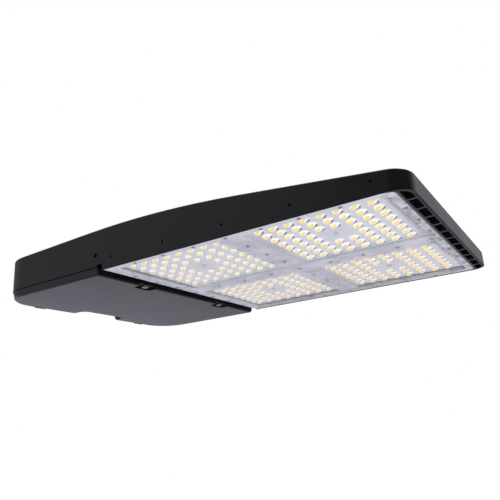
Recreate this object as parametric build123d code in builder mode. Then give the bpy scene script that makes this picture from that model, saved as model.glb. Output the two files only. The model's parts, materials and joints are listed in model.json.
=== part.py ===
# Sports court light: a slim arched die-cast housing that carries four LED boards behind one lens
# plate, and a driver compartment under its rear end that a hinged cover closes.
# X runs from the rear mounting face to the front, Y across and Z up. The near side is -Y.
# The origin is the middle of the arm bolts, on the rear face.
import os

from build123d import *

os.makedirs("parts", exist_ok=True)

# LED grid: two by two modules of square rows with an empty pad in the middle of each
led_pitch = 16.0
led_row = 8
pad_row = 2
band_pitches = 3
chip_size = 5.0
chip_height = 1.0
dome_length = 10.6
dome_width = 6.6
dome_height = 0.5
dome_top_length = 7.0
dome_top_width = 3.6

# Lens plate, its seal and the boards behind it
lens_thickness = 2.4
lens_rise = 2.6
lip_width = 9.0
lip_height = 2.0
lens_margin_rear = 21.5
lens_margin_front = 26.7
lens_margin_side = 23.3
lens_corner = 8.0
lens_clearance = 0.5
seal_width = 5.0
seal_height = 2.0
seal_inset = 2.5
board_margin = 10.0
board_thickness = 1.6
board_depth = 4.5

# Small screws
band_screw_pitch = 38.4
screw_head = 6.0
screw_head_sides = 6
round_sides = 6
screw_head_height = 1.8
screw_shank = 3.0
screw_reach = 5.0
screw_play = 0.2
post_size = 8.0

# Housing
wall = 3.5
roof_wall = 4.0
web = 4.0
rear_radius = 46.0
front_radius = 17.0
edge_chamfer = 1.0
rear_height = 44.3
crest_height = 50.1
crest_x = 266.5
crest_radius = 1340.0
front_height = 17.4
rim_wall = 1.2
rim_edge = 0.5
rim_bevel = 0.8
fin_thickness = 2.6
fin_drop = 6.0
bulkhead = 5.0
vent_count = 12
vent_width = 7.5
vent_rib = 3.4
vent_wall = 3.2
vent_back = 1.2
rim_groove = 0.8
rim_groove_inset = 1.4

# Driver compartment and its cover
cover_front = 180.0
cover_gap = 7.5
cover_inset = 1.0
cover_draft = 1.2
cover_side = 8.0
cover_drop = 3.7
cover_floor = 3.0
cover_edge = 1.6
cover_rib = 2.0
cover_rib_height = 3.0
cover_rib_count = 4
cover_rib_pitch = 60.0
rim_width = 8.5
front_rim = 17.0
seam_height = 5.2
seam_gap = 0.5
seat_height = 7.5
gasket_width = 4.0
gasket_inset = 2.8
gasket_gap = 0.3
gasket_play = 0.5
notch_width = 74.0
notch_depth = 20.5
notch_corner = 7.0

# Arm mount
mount_rise = 24.0
arm_pad_depth = 12.0
shelf_thickness = 4.0
arm_bolt_spacing = 56.0
arm_bolt_hole = 9.0
wire_entry = 20.0

# Door hinge
hinge_spread = 192.0
knuckle_width = 7.0
knuckle_root = 6.0
lug_width = 7.0
lug_rise = 8.0
hinge_side_gap = 0.4
hinge_clear = 0.8
pin_radius = 2.0
pin_press_clear = 0.02
pin_run_clear = 0.05

# Captive screws of the door
captive_spread = 156.0
captive_inset = 6.0
captive_head = 8.4
captive_head_height = 1.6
captive_shank = 5.0
captive_engaged = 9.0
captive_clear = 0.9
captive_guide_clear = 0.35
captive_slot = 1.6
captive_slot_depth = 1.0
captive_boss = 14.0
captive_sides = 12
washer_height = 0.8
washer_rim = 0.5
pocket_width = 28.0
pocket_depth = 13.0
pocket_height = 3.0
pocket_corner = 5.0

# Holes in the side walls for shields and a drain
side_hole = 3.0
side_hole_depth = 2.4
side_hole_pitch = 72.4
side_hole_count = 5
side_hole_height = 12.8
drain_hole = 5.5
drain_inset = 3.2
drain_height = 18.7

# Pieces in the driver compartment
bay_boss_height = 37.5
bay_boss = 14.0
driver_length = 206.0
driver_width = 66.0
driver_height = 31.0
driver_tab = 13.0
driver_tab_width = 40.0
tab_height = 3.0
driver_edge = 5.0
driver_front_gap = 8.0
rear_row_x = 46.0
surge_length = 50.0
surge_width = 30.0
surge_height = 22.0
surge_tab = 14.0
surge_edge = 3.0
surge_y = 88.0
terminal_length = 46.0
terminal_width = 20.0
terminal_height = 15.0
terminal_poles = 4
terminal_bore = 5.0
terminal_y = -92.0
ground_y = -44.0
grommet_hole = 8.0
grommet_flange = 13.0
grommet_flange_height = 2.0
grommet_bore = 5.0
grommet_reach = 6.0
grommet_play = 0.2
grommet_sides = 12
duct_width = 18.0
duct_cover = 5.0
cut_margin = 10.0

# Places worked out from those sizes
near = -1
far = 1
module_pitch = (led_row - 1 + band_pitches) * led_pitch
module_span = (led_row - 1) * led_pitch
grid_span = module_pitch + module_span
board_size = module_span + 2 * board_margin
lens_width = grid_span + 2 * lens_margin_side
lens_length = grid_span + lens_margin_rear + lens_margin_front
width = lens_width + 2 * lens_clearance + 2 * rim_wall
led_start = cover_front + cover_gap
lens_rear = led_start + lens_clearance
lens_front = lens_rear + lens_length
lens_x = (lens_rear + lens_front) / 2
grid_x = lens_rear + lens_margin_rear + grid_span / 2
recess_front = lens_front + lens_clearance
vent_rear = recess_front + vent_back
vent_front = vent_rear + vent_width
length = vent_front + vent_wall
vent_pitch = (width - 2 * vent_wall + vent_rib) / vent_count

rim_z = -mount_rise
lens_face_z = rim_z + lens_rise
lens_back_z = lens_face_z + lens_thickness
ledge_z = lens_back_z + seal_height
web_z = lens_back_z + board_depth
board_z = web_z - board_thickness
web_top_z = web_z + web
seam_z = rim_z + seam_height
seat_z = rim_z + seat_height
cover_top_z = seam_z - seam_gap
cover_bottom_z = rim_z - cover_drop
cover_floor_z = cover_bottom_z + cover_floor
pocket_z = cover_bottom_z + pocket_height
knuckle_radius = (cover_top_z - cover_bottom_z) / 2
hinge_z = cover_bottom_z + knuckle_radius
bay_front = cover_front - front_rim
fin_rear = bay_front + bulkhead
bay_boss_z = rim_z + bay_boss_height
captive_x = cover_front - captive_inset
driver_x = bay_front - driver_front_gap - driver_width / 2
duct_x = lens_rear + lip_width + grommet_hole
duct_z = web_z + duct_cover


def roof_profile(drop, arched=True):
    """Side view of everything under the roof line, lowered by drop and with or without its arch."""
    rear_top = (0, rim_z + rear_height - drop)
    crest = (crest_x, rim_z + crest_height - drop)
    front_top = (length, rim_z + front_height - drop)
    with BuildSketch(Plane.XZ) as profile:
        with BuildLine():
            if arched:
                FilletPolyline(rear_top, crest, front_top, radius=crest_radius)
            else:
                Polyline(rear_top, crest, front_top)
            Polyline(front_top, (length, rim_z - cut_margin), (0, rim_z - cut_margin), rear_top)
        make_face()
    return profile.sketch


def plan_outline(inset, z):
    """Plan view of the housing, pulled in by inset."""
    with BuildSketch(Plane.XY.offset(z)) as outline:
        with Locations((length / 2, 0)):
            Rectangle(length - 2 * inset, width - 2 * inset)
        fillet(outline.vertices().group_by(Axis.X)[0], rear_radius - inset)
        fillet(outline.vertices().group_by(Axis.X)[-1], front_radius - inset)
    return outline.sketch


def rear_outline(inset, front, z):
    """Plan view of the housing's rear end up to a station in front, pulled in by inset."""
    with BuildSketch(Plane.XY.offset(z)) as outline:
        with Locations((front, 0)):
            Rectangle(front - inset, width - 2 * inset, align=(Align.MAX, Align.CENTER))
        fillet(outline.vertices().group_by(Axis.X)[0], rear_radius - inset)
    return outline.sketch


def cover_outline(inset, front, z):
    """Plan view of the driver cover with its arm notch, which is rounded on the outer edge alone."""
    edge = cover_inset + inset
    notch_half = notch_width / 2 + inset
    with BuildSketch(Plane.XY.offset(z)) as outline:
        with Locations((front, 0)):
            Rectangle(front - edge, width - 2 * edge, align=(Align.MAX, Align.CENTER))
        fillet(outline.vertices().group_by(Axis.X)[0], rear_radius - edge)
        Rectangle(2 * (notch_depth + inset), 2 * notch_half, mode=Mode.SUBTRACT)
        if inset == 0:
            corners = outline.vertices().filter_by_position(Axis.Y, -notch_half - wall, notch_half + wall)
            fillet(corners, notch_corner)
    return outline.sketch


def lens_outline(inset, z):
    """Plan view of the lens plate, pulled in by inset."""
    with BuildSketch(Plane.XY.offset(z)) as outline:
        with Locations((lens_x, 0)):
            Rectangle(lens_length - 2 * inset, lens_width - 2 * inset)
        fillet(outline.vertices().group_by(Axis.X)[-1], lens_corner)
    return outline.sketch


def recess_outline(z):
    """Plan view of the housing's recess for the lens plate, which is open to the rear."""
    with BuildSketch(Plane.XY.offset(z)) as outline:
        with Locations((recess_front, 0)):
            Rectangle(
                recess_front - cover_front - cover_gap / 2,
                lens_width + 2 * lens_clearance,
                align=(Align.MAX, Align.CENTER),
            )
        fillet(outline.vertices().group_by(Axis.X)[-1], lens_corner + lens_clearance)
    return outline.sketch


def module_leds(x_side, y_side):
    """Places of one module's LEDs, with the pad in its middle left empty."""
    first_pad = (led_row - pad_row) // 2
    pad_places = range(first_pad, first_pad + pad_row)
    places = []
    for row in range(led_row):
        for column in range(led_row):
            if row in pad_places and column in pad_places:
                continue
            x = grid_x + x_side * module_pitch / 2 - module_span / 2 + row * led_pitch
            y = y_side * module_pitch / 2 - module_span / 2 + column * led_pitch
            places.append((x, y))
    return places


def band_screw_places():
    """Places of the posts that back the lens plate along the bands between the modules."""
    steps = int((grid_span / 2) // band_screw_pitch)
    places = [(grid_x, 0)]
    for step in range(1, steps + 1):
        for side in (near, far):
            places.append((grid_x + side * step * band_screw_pitch, 0))
            places.append((grid_x, side * step * band_screw_pitch))
    return places


def pan_screws(places, z, grip):
    """Screws driven upwards: heads under the face at z, shanks that reach past the grip."""
    with BuildPart() as screws:
        with BuildSketch(Plane.XY.offset(z)):
            with Locations(*places):
                RegularPolygon(screw_head / 2, screw_head_sides)
        extrude(amount=-screw_head_height)
        with BuildSketch(Plane.XY.offset(z)):
            with Locations(*places):
                RegularPolygon(screw_shank / 2, round_sides)
        extrude(amount=grip + screw_reach)
    return screws.part


def save(part, name):
    """Label one piece and write it."""
    part.label = name
    export_step(part, f"parts/{name}.step")


band_screws = band_screw_places()
module_sides = [("rear", near), ("front", far)]
hand_sides = [("near", near), ("far", far)]
module_centres = [
    (grid_x + x_side * module_pitch / 2, y_side * module_pitch / 2)
    for _, x_side in module_sides
    for _, y_side in hand_sides
]
all_leds = [
    place
    for _, x_side in module_sides
    for _, y_side in hand_sides
    for place in module_leds(x_side, y_side)
]
side_holes = [
    (grid_x + (step - (side_hole_count - 1) / 2) * side_hole_pitch, rim_z + side_hole_height)
    for step in range(side_hole_count)
]
driver_holes = [(driver_x, side * (driver_length + driver_tab) / 2) for _, side in hand_sides]
surge_holes = [(rear_row_x, surge_y + side * (surge_length + surge_tab) / 2) for _, side in hand_sides]
terminal_hole = [(rear_row_x, terminal_y)]
ground_hole = [(rear_row_x, ground_y)]
bay_holes = driver_holes + surge_holes + terminal_hole + ground_hole
captive_places = [(captive_x, side * captive_spread / 2) for _, side in hand_sides]
arm_holes = [(side * arm_bolt_spacing / 2, 0) for _, side in hand_sides]

# Space inside the driver compartment, with bosses under the roof and an arm pad at the rear
with BuildPart() as bay:
    extrude(cover_outline(rim_width, bay_front, seat_z), amount=crest_height)
    with BuildSketch(Plane.XY.offset(seat_z + shelf_thickness)):
        with Locations((arm_pad_depth, 0)):
            Rectangle(
                notch_depth + 2 * rim_width,
                notch_width + 2 * rim_width,
                align=(Align.MIN, Align.CENTER),
            )
    extrude(amount=crest_height)
    extrude(roof_profile(roof_wall), amount=width, both=True, mode=Mode.INTERSECT)
    with BuildSketch(Plane.XY.offset(bay_boss_z)):
        with Locations(*bay_holes):
            Rectangle(bay_boss, bay_boss)
    extrude(amount=crest_height, mode=Mode.SUBTRACT)

# Fins behind the ribs of the vent grille, below the arch, and the open space that they stand in
with BuildPart() as fins:
    with BuildSketch(Plane.XY.offset(web_top_z)):
        with Locations(((fin_rear + vent_rear) / 2, 0)):
            with GridLocations(0, vent_pitch, 1, vent_count - 1):
                Rectangle(vent_rear - fin_rear, fin_thickness)
    extrude(amount=crest_height)
    extrude(roof_profile(fin_drop, arched=False), amount=width, both=True, mode=Mode.INTERSECT)

with BuildPart() as fin_space:
    with BuildSketch(Plane.XY.offset(web_top_z)):
        with Locations((fin_rear, 0)):
            Rectangle(vent_front - fin_rear, width - 2 * wall, align=(Align.MIN, Align.CENTER))
    extrude(amount=crest_height)
    extrude(plan_outline(vent_wall, web_top_z), amount=crest_height, mode=Mode.INTERSECT)
    add(fins.part, mode=Mode.SUBTRACT)

# Row of vent slots along the front edge, rounded off where they meet the corners
with BuildPart() as vents:
    with BuildSketch(Plane.XY.offset(rim_z)):
        with Locations((vent_rear + vent_width / 2, 0)):
            with GridLocations(0, vent_pitch, 1, vent_count):
                Rectangle(vent_width, vent_pitch - vent_rib)
    extrude(amount=crest_height)
    extrude(plan_outline(vent_wall, rim_z), amount=crest_height, mode=Mode.INTERSECT)

# Housing: arched shell, heat sink, vent grille, driver compartment and hinge lugs
with BuildPart() as housing:
    extrude(plan_outline(0, rim_z), amount=crest_height)
    extrude(roof_profile(0), amount=width, both=True, mode=Mode.INTERSECT)
    roof_rim = [
        edge
        for edge in housing.edges().filter_by(Axis.Z, reverse=True)
        if edge.center().Z > web_top_z
        and (abs(edge.center().Y) > wall or min(edge.center().X, length - edge.center().X) < wall)
    ]
    chamfer(roof_rim, edge_chamfer)
    # driver compartment: its space, the seat of the cover gasket and the seam round the cover
    add(bay.part, mode=Mode.SUBTRACT)
    extrude(rear_outline(wall, led_start, rim_z), amount=seat_height, mode=Mode.SUBTRACT)
    with BuildSketch(Plane.XY.offset(rim_z)):
        with Locations((led_start, 0)):
            Rectangle(2 * led_start, 2 * width, align=(Align.MAX, Align.CENTER))
    extrude(amount=seam_height, mode=Mode.SUBTRACT)
    with BuildSketch(Plane.XY.offset(rim_z)):
        with Locations((led_start, 0)):
            Rectangle(cover_gap + cover_inset, 2 * width, align=(Align.MAX, Align.CENTER))
    extrude(amount=seat_height, mode=Mode.SUBTRACT)
    # recess for the lens plate and the deeper pocket for the boards, with posts along the bands
    extrude(recess_outline(rim_z), amount=ledge_z - rim_z, mode=Mode.SUBTRACT)
    extrude(lens_outline(lip_width + lens_clearance, ledge_z), amount=web_z - ledge_z, mode=Mode.SUBTRACT)
    with BuildSketch(Plane.XY.offset(web_z)):
        with Locations(*band_screws):
            Rectangle(post_size, post_size)
    extrude(amount=lens_back_z - web_z)
    # thin rim of the side walls, bevelled inwards along the lens plate
    for _, side in hand_sides:
        with BuildSketch(Plane.YZ.offset(led_start)):
            with BuildLine():
                Polyline(
                    (side * (width / 2 - rim_edge), rim_z),
                    (side * (width / 2 - rim_wall), rim_z),
                    (side * (width / 2 - rim_wall), rim_z + rim_bevel),
                    close=True,
                )
            make_face()
        extrude(amount=recess_front - lens_corner - lens_clearance - led_start, mode=Mode.SUBTRACT)
    # heat sink, vents and the groove along the front rim
    add(fin_space.part, mode=Mode.SUBTRACT)
    add(vents.part, mode=Mode.SUBTRACT)
    with BuildSketch(Plane.XY.offset(rim_z)):
        with Locations((length - rim_groove_inset, 0)):
            Rectangle(rim_groove, width - 2 * front_radius)
    extrude(amount=rim_groove, mode=Mode.SUBTRACT)
    # duct for the LED wires, through the bulkhead and down into the board pocket
    with BuildSketch(Plane.XY.offset(web_z)):
        with Locations((duct_x + duct_width / 2, 0)):
            Rectangle(duct_x + duct_width / 2 - fin_rear, duct_width, align=(Align.MAX, Align.CENTER))
    extrude(amount=2 * duct_cover)
    with BuildSketch(Plane.YZ.offset(bay_front)):
        with Locations((0, duct_z)):
            RegularPolygon(grommet_hole / 2, grommet_sides)
    extrude(amount=duct_x - bay_front, mode=Mode.SUBTRACT)
    with BuildSketch(Plane.XY.offset(web_z)):
        with Locations((duct_x, 0)):
            RegularPolygon(grommet_hole / 2, grommet_sides)
    extrude(amount=duct_cover, mode=Mode.SUBTRACT)
    # holes for the screws of the boards, of the pieces in the compartment and of the door
    with BuildSketch(Plane.XY.offset(web_z)):
        with Locations(*module_centres):
            RegularPolygon(screw_shank / 2 + screw_play, round_sides)
    extrude(amount=screw_reach + screw_play, mode=Mode.SUBTRACT)
    with BuildSketch(Plane.XY.offset(bay_boss_z)):
        with Locations(*bay_holes):
            RegularPolygon(screw_shank / 2 + screw_play, round_sides)
    extrude(amount=screw_reach + screw_play, mode=Mode.SUBTRACT)
    with BuildSketch(Plane.XY.offset(seat_z)):
        with Locations(*captive_places):
            RegularPolygon(captive_boss / 2, round_sides)
    extrude(amount=captive_engaged + captive_clear + wall)
    with BuildSketch(Plane.XY.offset(seat_z)):
        with Locations(*captive_places):
            RegularPolygon(captive_shank / 2 + captive_clear, captive_sides)
    extrude(amount=captive_engaged + captive_clear, mode=Mode.SUBTRACT)
    # arm bolts and wire entry in the rear pad
    with BuildSketch(Plane.YZ):
        with Locations(*arm_holes):
            Circle(arm_bolt_hole / 2)
        Circle(wire_entry / 2)
    extrude(amount=arm_pad_depth, mode=Mode.SUBTRACT)
    # accessory holes and drain hole in the two side walls
    for _, side in hand_sides:
        with BuildSketch(Plane.XZ.offset(-side * width / 2)):
            with Locations(*side_holes):
                RegularPolygon(side_hole / 2, round_sides)
            with Locations((cover_front - drain_inset, rim_z + drain_height)):
                RegularPolygon(drain_hole / 2, round_sides)
        extrude(amount=side * side_hole_depth, mode=Mode.SUBTRACT)
    # lugs that carry the hinge pins, outside the knuckles of the cover
    for _, side in hand_sides:
        lug_y = side * (hinge_spread / 2 + hinge_side_gap / 2)
        with BuildSketch(Plane.XZ.offset(-lug_y)):
            with Locations((0, hinge_z)):
                Circle(knuckle_radius)
            with BuildLine():
                Polyline(
                    (-knuckle_radius, hinge_z),
                    (-knuckle_radius, seam_z),
                    (0, seam_z + lug_rise),
                    (wall, seam_z + lug_rise),
                    (wall, seam_z),
                    (knuckle_radius, hinge_z),
                    close=True,
                )
            make_face()
            with Locations((0, hinge_z)):
                Circle(pin_radius + pin_press_clear, mode=Mode.SUBTRACT)
        extrude(amount=-side * lug_width)
save(housing.part, "housing")

# Driver cover: shallow tapered door with a wide rim, an arm notch, screw pockets and hinge knuckles
with BuildPart() as driver_cover:
    extrude(cover_outline(0, cover_front, cover_bottom_z), amount=cover_top_z - cover_bottom_z)
    bottom = driver_cover.faces().sort_by(Axis.Z)[0]
    chamfer(bottom.edges(), cover_draft, length2=cover_side, reference=bottom)
    chamfer(driver_cover.faces().sort_by(Axis.Z)[0].edges(), cover_edge)
    extrude(
        cover_outline(rim_width, bay_front, cover_floor_z),
        amount=cover_top_z - cover_floor_z,
        mode=Mode.SUBTRACT,
    )
    with BuildSketch(Plane.XY.offset(cover_floor_z)):
        with Locations((bay_front, 0)):
            with GridLocations(0, cover_rib_pitch, 1, cover_rib_count):
                Rectangle(
                    bay_front - notch_depth - 2 * rim_width,
                    cover_rib,
                    align=(Align.MAX, Align.CENTER),
                )
    extrude(amount=cover_rib_height)
    for _, side in hand_sides:
        # pocket for the captive screw, open to the front
        captive_y = side * captive_spread / 2
        with BuildSketch(Plane.XY.offset(cover_bottom_z)) as pocket:
            with Locations((cover_front, captive_y)):
                Rectangle(2 * pocket_depth, pocket_width)
            fillet(pocket.vertices().group_by(Axis.X)[0], pocket_corner)
        extrude(amount=pocket_height, mode=Mode.SUBTRACT)
        with BuildSketch(Plane.XY.offset(pocket_z)):
            with Locations((captive_x, captive_y)):
                RegularPolygon(captive_shank / 2 + captive_guide_clear, captive_sides)
        extrude(amount=cover_top_z - pocket_z, mode=Mode.SUBTRACT)
        # clearance for the housing's lug
        lug_y = side * (hinge_spread / 2 + hinge_side_gap / 2)
        with BuildSketch(Plane.XY.offset(cover_bottom_z)):
            with Locations((0, lug_y + side * lug_width / 2)):
                Rectangle(2 * (knuckle_radius + hinge_clear), lug_width + 2 * hinge_side_gap)
        extrude(amount=2 * knuckle_radius, mode=Mode.SUBTRACT)
        # hinge knuckle
        with BuildSketch(Plane.XZ.offset(-side * (hinge_spread - hinge_side_gap) / 2)):
            with Locations((0, hinge_z)):
                Circle(knuckle_radius)
                Rectangle(knuckle_root, 2 * knuckle_radius, align=(Align.MIN, Align.CENTER))
        extrude(amount=side * knuckle_width)
        with BuildSketch(Plane.XZ.offset(-side * (hinge_spread - hinge_side_gap) / 2)):
            with Locations((0, hinge_z)):
                Circle(pin_radius + pin_run_clear)
        extrude(amount=side * knuckle_width, mode=Mode.SUBTRACT)
save(driver_cover.part, "driver_cover")

# Gasket on the housing's seat, all round the driver compartment
with BuildPart() as cover_gasket:
    gasket_z = cover_top_z + gasket_gap
    gasket_front = bay_front + gasket_play
    extrude(
        cover_outline(gasket_inset, gasket_front + gasket_width, gasket_z),
        amount=seat_z - gasket_z,
    )
    extrude(
        cover_outline(gasket_inset + gasket_width, gasket_front, gasket_z),
        amount=seat_z - gasket_z,
        mode=Mode.SUBTRACT,
    )
save(cover_gasket.part, "cover_gasket")

# Hinge pins, pressed into the lugs
for hand, side in hand_sides:
    with BuildPart() as hinge_pin:
        with BuildSketch(Plane.XZ.offset(-side * ((hinge_spread + hinge_side_gap) / 2 + lug_width))):
            with Locations((0, hinge_z)):
                Circle(pin_radius)
        extrude(amount=side * (lug_width + hinge_side_gap + knuckle_width))
    save(hinge_pin.part, f"hinge_pin_{hand}")

# Captive screws of the door, with a slotted head, and the washers under their heads
for hand, side in hand_sides:
    captive_y = side * captive_spread / 2
    head_z = pocket_z - washer_height
    with BuildPart() as captive_screw:
        with BuildSketch(Plane.XY.offset(head_z)):
            with Locations((captive_x, captive_y)):
                RegularPolygon(captive_head / 2, captive_sides)
        extrude(amount=-captive_head_height)
        with BuildSketch(Plane.XY.offset(head_z)):
            with Locations((captive_x, captive_y)):
                RegularPolygon(captive_shank / 2, captive_sides)
        extrude(amount=seat_z + captive_engaged - head_z)
        with BuildSketch(Plane.XY.offset(head_z - captive_head_height)):
            with Locations((captive_x, captive_y)):
                Rectangle(captive_slot, captive_head)
        extrude(amount=captive_slot_depth, mode=Mode.SUBTRACT)
    save(captive_screw.part, f"captive_screw_{hand}")

    with BuildPart() as screw_washer:
        with BuildSketch(Plane.XY.offset(head_z)):
            with Locations((captive_x, captive_y)):
                RegularPolygon(captive_head / 2 - washer_rim, captive_sides)
                RegularPolygon(captive_shank / 2 + captive_guide_clear, captive_sides, mode=Mode.SUBTRACT)
        extrude(amount=washer_height)
    save(screw_washer.part, f"screw_washer_{hand}")

# Lens plate: flat plate with a thick lip and one low, elongated lens over each LED
with BuildPart() as lens_plate:
    extrude(lens_outline(0, lens_face_z - lip_height), amount=lip_height + lens_thickness)
    extrude(
        lens_outline(lip_width, lens_face_z - lip_height),
        amount=lip_height,
        mode=Mode.SUBTRACT,
    )
    with Locations(*[(x, y, lens_face_z) for x, y in all_leds]):
        Wedge(
            dome_length,
            dome_height,
            dome_width,
            (dome_length - dome_top_length) / 2,
            (dome_width - dome_top_width) / 2,
            (dome_length + dome_top_length) / 2,
            (dome_width + dome_top_width) / 2,
            rotation=(-90, 0, 0),
            align=(Align.CENTER, Align.MIN, Align.CENTER),
        )
save(lens_plate.part, "lens_plate")

# Seal between the lens plate and the ledge round the board pocket
with BuildPart() as lens_gasket:
    extrude(lens_outline(seal_inset, lens_back_z), amount=seal_height)
    extrude(lens_outline(seal_inset + seal_width, lens_back_z), amount=seal_height, mode=Mode.SUBTRACT)
save(lens_gasket.part, "lens_gasket")

# LED boards and the emitters on them
for end, x_side in module_sides:
    for hand, y_side in hand_sides:
        centre = (grid_x + x_side * module_pitch / 2, y_side * module_pitch / 2)
        with BuildPart() as led_board:
            with BuildSketch(Plane.XY.offset(board_z)):
                with Locations(centre):
                    Rectangle(board_size, board_size)
                    RegularPolygon(screw_shank / 2 + screw_play, round_sides, mode=Mode.SUBTRACT)
            extrude(amount=board_thickness)
        save(led_board.part, f"led_board_{end}_{hand}")

        with BuildPart() as led_chips:
            with BuildSketch(Plane.XY.offset(board_z)):
                with Locations(*module_leds(x_side, y_side)):
                    Rectangle(chip_size, chip_size)
            extrude(amount=-chip_height)
        save(led_chips.part, f"led_chips_{end}_{hand}")

save(pan_screws(module_centres, board_z, board_thickness), "board_screws")

# LED driver: a potted case that hangs from the roof bosses by its end tabs
with BuildPart() as led_driver:
    with BuildSketch(Plane.XY.offset(bay_boss_z)) as case:
        with Locations((driver_x, 0)):
            Rectangle(driver_width, driver_length)
        chamfer(case.vertices(), driver_edge)
    extrude(amount=-driver_height)
    with BuildSketch(Plane.XY.offset(bay_boss_z)):
        with Locations((driver_x, 0)):
            Rectangle(driver_tab_width, driver_length + 2 * driver_tab)
        with Locations(*driver_holes):
            RegularPolygon(screw_shank / 2 + screw_play, round_sides, mode=Mode.SUBTRACT)
    extrude(amount=-tab_height)
save(led_driver.part, "led_driver")
save(pan_screws(driver_holes, bay_boss_z - tab_height, tab_height), "driver_screws")

# Surge protector, beside the wire entry
with BuildPart() as surge_protector:
    with BuildSketch(Plane.XY.offset(bay_boss_z)) as case:
        with Locations((rear_row_x, surge_y)):
            Rectangle(surge_width, surge_length)
        chamfer(case.vertices(), surge_edge)
    extrude(amount=-surge_height)
    with BuildSketch(Plane.XY.offset(bay_boss_z)):
        with Locations((rear_row_x, surge_y)):
            Rectangle(bay_boss, surge_length + 2 * surge_tab)
        with Locations(*surge_holes):
            RegularPolygon(screw_shank / 2 + screw_play, round_sides, mode=Mode.SUBTRACT)
    extrude(amount=-tab_height)
save(surge_protector.part, "surge_protector")
save(pan_screws(surge_holes, bay_boss_z - tab_height, tab_height), "surge_screws")

# Terminal block with a row of wire entries on its rear and front faces
with BuildPart() as terminal_block:
    with BuildSketch(Plane.XY.offset(bay_boss_z)):
        with Locations((rear_row_x, terminal_y)):
            Rectangle(terminal_width, terminal_length)
            RegularPolygon(screw_shank / 2 + screw_play, round_sides, mode=Mode.SUBTRACT)
    extrude(amount=-terminal_height)
    with BuildSketch(Plane.YZ.offset(rear_row_x - terminal_width / 2)):
        with Locations((terminal_y, bay_boss_z - terminal_height / 2)):
            with GridLocations(terminal_length / terminal_poles, 0, terminal_poles, 1):
                Rectangle(terminal_bore, terminal_bore)
    extrude(amount=terminal_width / 2 - screw_head / 2, mode=Mode.SUBTRACT)
save(terminal_block.part, "terminal_block")
save(pan_screws(terminal_hole, bay_boss_z - terminal_height, terminal_height), "terminal_screw")
save(pan_screws(ground_hole, bay_boss_z, 0), "ground_screw")

# Grommet of the LED wires in the bulkhead
with BuildPart() as wire_grommet:
    with BuildSketch(Plane.YZ.offset(bay_front)):
        with Locations((0, duct_z)):
            RegularPolygon(grommet_flange / 2, grommet_sides)
    extrude(amount=-grommet_flange_height)
    with BuildSketch(Plane.YZ.offset(bay_front)):
        with Locations((0, duct_z)):
            RegularPolygon(grommet_hole / 2 - grommet_play, grommet_sides)
    extrude(amount=grommet_reach)
    with BuildSketch(Plane.YZ.offset(bay_front - grommet_flange_height)):
        with Locations((0, duct_z)):
            RegularPolygon(grommet_bore / 2, grommet_sides)
    extrude(amount=grommet_flange_height + grommet_reach, mode=Mode.SUBTRACT)
save(wire_grommet.part, "wire_grommet")
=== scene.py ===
import json
import math

import bmesh
import bpy
from mathutils import Matrix, Vector
from mathutils.geometry import delaunay_2d_cdt


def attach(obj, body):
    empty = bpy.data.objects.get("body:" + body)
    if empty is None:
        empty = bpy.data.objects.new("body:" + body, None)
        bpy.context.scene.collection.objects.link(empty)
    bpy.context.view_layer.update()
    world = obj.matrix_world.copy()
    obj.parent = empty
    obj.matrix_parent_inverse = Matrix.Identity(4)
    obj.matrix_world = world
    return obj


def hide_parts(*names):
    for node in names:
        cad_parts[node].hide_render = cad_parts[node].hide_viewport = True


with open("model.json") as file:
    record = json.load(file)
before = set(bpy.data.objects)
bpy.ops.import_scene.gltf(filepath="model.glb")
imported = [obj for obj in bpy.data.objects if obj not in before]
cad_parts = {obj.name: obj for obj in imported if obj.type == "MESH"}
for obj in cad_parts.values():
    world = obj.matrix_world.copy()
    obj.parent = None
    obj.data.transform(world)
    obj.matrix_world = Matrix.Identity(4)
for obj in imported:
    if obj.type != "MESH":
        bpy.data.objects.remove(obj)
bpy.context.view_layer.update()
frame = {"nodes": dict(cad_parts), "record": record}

mm = 0.001

# Camera of the photograph.
camera_place = (0.61036, -0.55645, -0.18663)
camera_turn = (107.5123, 3.1505, 34.1406)
camera_lens = 38.976
camera_sensor = 36.0
camera_shift_x = 0.043
camera_clip_start = 0.01

# Lens plate: the same plan and heights as the CAD part.
lens_rear_x = 188.0 * mm
lens_front_x = 508.2 * mm
lens_half_width = 159.3 * mm
lens_corner = 8.0 * mm
lens_lip = 9.0 * mm
lens_lip_z = -23.4 * mm
lens_face_z = -21.4 * mm
lens_back_z = -19.0 * mm
lip_inner_rear_x = lens_rear_x + lens_lip
lip_inner_front_x = lens_front_x - lens_lip
lip_inner_y = lens_half_width - lens_lip
corner_steps = 6
same_point = 0.02 * mm
same_sheet_point = same_point / 10
square_corners = ((-1, -1), (1, -1), (1, 1), (-1, 1))

# LED grid: four modules of eight by eight cells, with four plain cells in the middle.
grid_x = 345.5 * mm
module_step = 160.0 * mm
led_pitch = 16.0 * mm
cells = 8
plain_cells = (3, 4)
module_half = led_pitch * cells / 2

# One low lens.
dome_half_length = 5.3 * mm
dome_half_width = 4.8 * mm
dome_height = 0.12 * mm
dome_sides = 16
dome_rings = 4
plain_cell_rise = 0.4

# Frosted zones of the plate, along its bands and edges.
band_clear = 19.0 * mm
band_frosted = 12.0 * mm
edge_frost = 5.0 * mm
frost_wobble = 10.0 * mm
frost_dark = (0.5, 0.5, 0.55)
frost_light = (0.69, 0.69, 0.76)
side_frost = (0.68, 0.68, 0.75)

# The plate's lip: dull and greyed by painted shade on the far side, smudged along the front,
# darkened by a painted shadow line at the front edge.
far_lip_painted_shade = (0.54, 0.54, 0.57)
far_lip_fade = 1.0 * mm
far_lip_shine = 0.15
smudge_reach = 22.0 * mm
smudge_grey = (0.24, 0.24, 0.26)
smudge_share = 0.75
smudge_clouds = (150.0, 5.0)
smudge_edges = (0.42, 0.64)
front_edge = (2.1 * mm, 1.1 * mm)
front_edge_painted_shadow = (0.09, 0.09, 0.1)

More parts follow.
